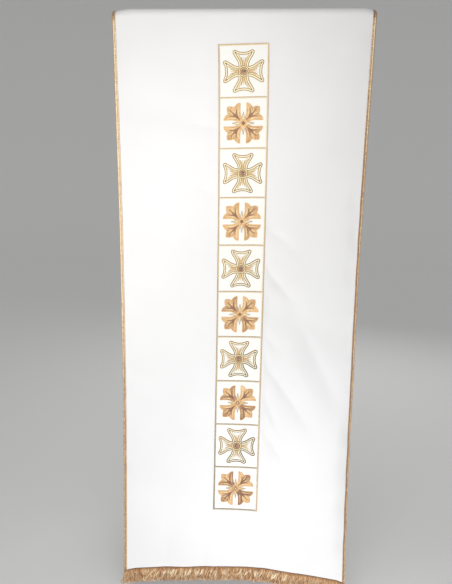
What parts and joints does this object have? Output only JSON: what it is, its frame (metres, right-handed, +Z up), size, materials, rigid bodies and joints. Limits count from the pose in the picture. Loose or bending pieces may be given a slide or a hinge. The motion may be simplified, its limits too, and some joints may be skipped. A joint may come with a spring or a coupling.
{
  "type": "lectern cover",
  "caption": "Long draped cloth that covers the front, sloping top and back of a lectern, with an embroidered band of crosses, gold side braids and a fringed front hem.",
  "frame": {"origin": "under the cloth, in the middle of the front edge of the top, where the cover rests on the lectern", "axes": "+Z up, -Y towards the viewer who faces the embroidered front, +X to that viewer's right"},
  "size_m": [0.509, 0.4162, 1.2398],
  "materials": {
    "white_cloth": "smooth matt white cloth with a faint sheen",
    "band_satin": "stiffened cream satin",
    "pale_gold": "pale gold metallic embroidery line",
    "cross_gold": "pale gold metallic embroidery",
    "leaf_gold": "orange gold satin stitch",
    "braid_gold": "gold metallic braid of two cords",
    "fringe_gold": "twisted gold fringe threads"
  },
  "bodies": {
    "root": {"cloth": "white_cloth", "band": "band_satin", "ladder": "pale_gold", "cross_1": "cross_gold", "cross_2": "cross_gold", "cross_3": "cross_gold", "cross_4": "cross_gold", "cross_5": "cross_gold", "leaf_cross_1": "leaf_gold", "leaf_cross_2": "leaf_gold", "leaf_cross_3": "leaf_gold", "leaf_cross_4": "leaf_gold", "leaf_cross_5": "leaf_gold", "braid_left": "braid_gold", "braid_right": "braid_gold", "fringe": "fringe_gold"}
  },
  "joints": []
}
